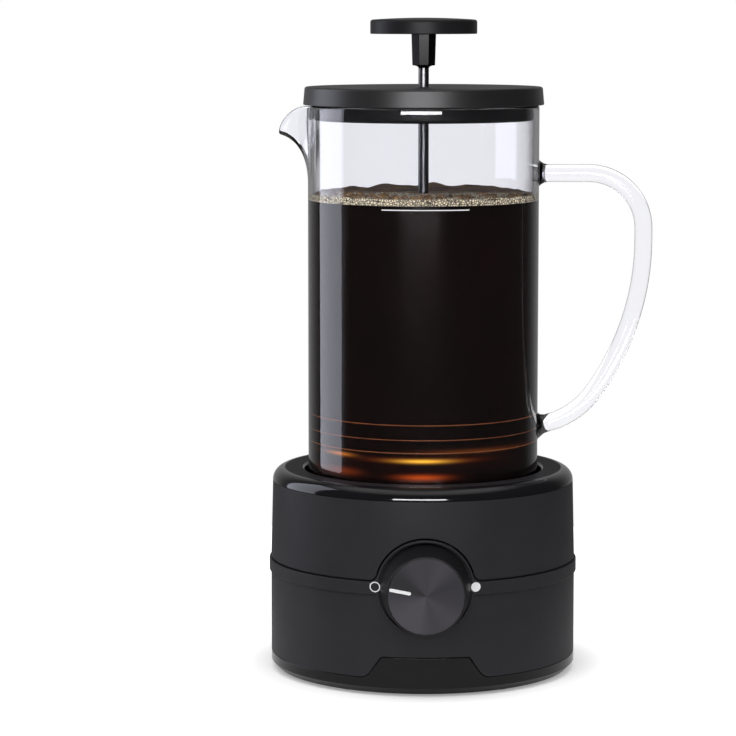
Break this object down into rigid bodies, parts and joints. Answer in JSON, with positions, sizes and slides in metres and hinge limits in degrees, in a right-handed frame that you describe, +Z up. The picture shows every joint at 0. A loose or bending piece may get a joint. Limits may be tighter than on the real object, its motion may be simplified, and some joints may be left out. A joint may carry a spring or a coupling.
{
  "type": "cold brew coffee maker",
  "caption": "Cold brew coffee maker: round motor base with a speed dial, a glass carafe with handle and spout that stands in it, and a lid with a press filter.",
  "frame": {"origin": "on the vertical axis of the round base, at the level of the table; the tray's flat underside stands 1 mm above it on four feet", "axes": "+Z up along the base's axis; the dial faces -Y, the cord inlet +Y, the handle +X and the spout -X"},
  "size_m": [0.1735, 0.1567, 0.2951],
  "materials": {
    "housing_black": "fine matt texture",
    "gloss_black": "polished black plastic",
    "lid_satin": "satin black plastic",
    "knob_black": "gloss black plastic",
    "knob_metal": "dark spun face",
    "white_print": "white print",
    "rubber_black": "matt rubber",
    "silicone_grey": "silicone",
    "clear_glass": "clear borosilicate glass",
    "rod_steel": "polished stainless steel",
    "zinc_steel": "zinc plated steel",
    "screw_steel": "blackened steel",
    "motor_steel": "plain steel can",
    "bearing_bronze": "sintered bronze",
    "magnet_nickel": "nickel plated",
    "inner_plastic": "plain moulded plastic",
    "filter_plastic": "food grade plastic",
    "filter_steel": "pressed stainless steel",
    "switch_black": "moulded switch body",
    "board_green": "coated circuit board",
    "component_black": "moulded parts"
  },
  "bodies": {
    "base": {"bottom_tray": "gloss_black", "lower_housing": "housing_black", "upper_housing": "housing_black", "top_cap": "gloss_black", "well_cup": "gloss_black", "well_pad": "silicone_grey", "feet": "rubber_black", "off_mark": "white_print", "on_mark": "white_print", "speed_switch": "switch_black", "switch_washer": "zinc_steel", "switch_nut": "zinc_steel", "motor_bracket": "zinc_steel", "bracket_grommets": "rubber_black", "motor_can": "motor_steel", "motor_bearing": "bearing_bronze", "tray_screws": "screw_steel", "bracket_screws": "screw_steel", "motor_screws": "screw_steel", "board_screws": "screw_steel", "control_board": "board_green", "board_components": "component_black", "cord_inlet": "rubber_black", "inlet_nut": "inner_plastic"},
    "dial": {"knob": "knob_black", "knob_cap": "knob_metal", "knob_pointer": "white_print", "switch_shaft": "zinc_steel"},
    "rotor": {"motor_shaft": "zinc_steel", "drive_hub": "inner_plastic", "drive_magnets": "magnet_nickel"},
    "carafe": {"carafe_glass": "clear_glass", "carafe_handle": "clear_glass", "fill_line": "white_print"},
    "paddle": {"stirrer": "inner_plastic", "stirrer_magnets": "magnet_nickel"},
    "lid": {"lid_plug": "gloss_black", "lid_cover": "lid_satin", "rod_bush": "lid_satin"},
    "plunger": {"plunger_disc": "lid_satin", "plunger_collar": "lid_satin", "plunger_rod": "rod_steel", "filter_cup": "filter_plastic", "filter_hub": "filter_plastic", "mesh_screen": "rod_steel", "filter_frame": "filter_steel", "filter_seal": "silicone_grey", "filter_nut": "zinc_steel"}
  },
  "joints": [
    {"name": "carafe_lift", "type": "slide", "parent": "base", "child": "carafe", "axis": [0, 0, 1], "range_m": [0, 0.1]},
    {"name": "lid_lift", "type": "slide", "parent": "carafe", "child": "lid", "axis": [0, 0, 1], "range_m": [0, 0.17]},
    {"name": "plunger_press", "type": "slide", "parent": "lid", "child": "plunger", "axis": [0, 0, 1], "range_m": [-0.008, 0.13]},
    {"name": "dial_turn", "type": "hinge", "parent": "base", "child": "dial", "pos_m": [0, -0.0666, 0.0483], "axis": [0, 1, 0], "range_deg": [0, 158]},
    {"name": "rotor_spin", "type": "hinge", "parent": "base", "child": "rotor", "pos_m": [0, 0, 0.068], "axis": [0, 0, 1], "continuous": true},
    {"name": "stirrer_spin", "type": "hinge", "parent": "carafe", "child": "paddle", "pos_m": [0, 0, 0.084], "axis": [0, 0, 1], "continuous": true}
  ],
  "couplings": [
    {"joint": "stirrer_spin", "follows": "rotor_spin", "ratio": 1}
  ]
}
